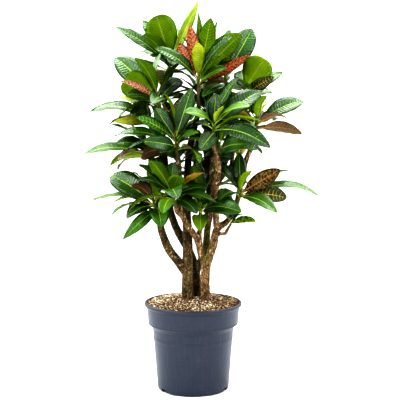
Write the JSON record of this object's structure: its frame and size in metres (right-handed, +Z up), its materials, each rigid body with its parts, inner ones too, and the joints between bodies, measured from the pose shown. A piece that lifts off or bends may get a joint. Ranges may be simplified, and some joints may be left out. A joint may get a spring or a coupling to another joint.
{
  "type": "potted croton",
  "caption": "Potted croton: branching woody stems with dense leafy shoots of broad glossy leaves, standing in a round nursery pot of potting mix topped with bark chips.",
  "frame": {"origin": "middle of the pot's flat underside", "axes": "+Z up along the pot's axis and the plant's height, -Y towards the front as in the picture, +X to the right seen from the front"},
  "size_m": [0.6521, 0.518, 1.0681],
  "materials": {
    "pot": "dark slate blue-grey moulded plastic, semi-matt, with faint upright streaks and light scuffs",
    "potting_mix": "pale bark and coir chips in cream, tan and brown over dark mix, dry and matt",
    "bark_dark": "dark brown bark with ring scars and fine cracks, matt",
    "bark_light": "light tan-brown bark with darker flecks and green moss near the fork, matt",
    "foliage": "thick glossy leaves, dark green with yellow ribs, some yellow-green, bronze or orange with dark patches; paler matt undersides"
  },
  "bodies": {
    "root": {"pot": "pot", "potting_mix": "potting_mix", "stem_left": "bark_dark", "stem_back": "bark_dark", "stem_right": "bark_light", "leafy_shoot_top": "foliage", "leafy_shoot_back_left_top": "foliage", "leafy_shoot_left_top": "foliage", "leafy_shoot_back_right_top": "foliage", "leafy_shoot_right_top": "foliage", "leafy_shoot_left_back": "foliage", "leafy_shoot_left_front": "foliage", "leafy_shoot_left_low": "foliage", "leafy_shoot_centre_front": "foliage", "leafy_shoot_centre_low": "foliage", "leafy_shoot_right_mid": "foliage", "leafy_shoot_low_left": "foliage", "leafy_shoot_low_front": "foliage", "leafy_shoot_low_centre": "foliage", "leafy_shoot_low_right": "foliage", "leafy_shoot_low_sprig": "foliage", "leafy_shoot_back_high": "foliage", "leafy_shoot_back_mid": "foliage", "leafy_shoot_back_right": "foliage", "leafy_shoot_back_low": "foliage"}
  },
  "joints": []
}
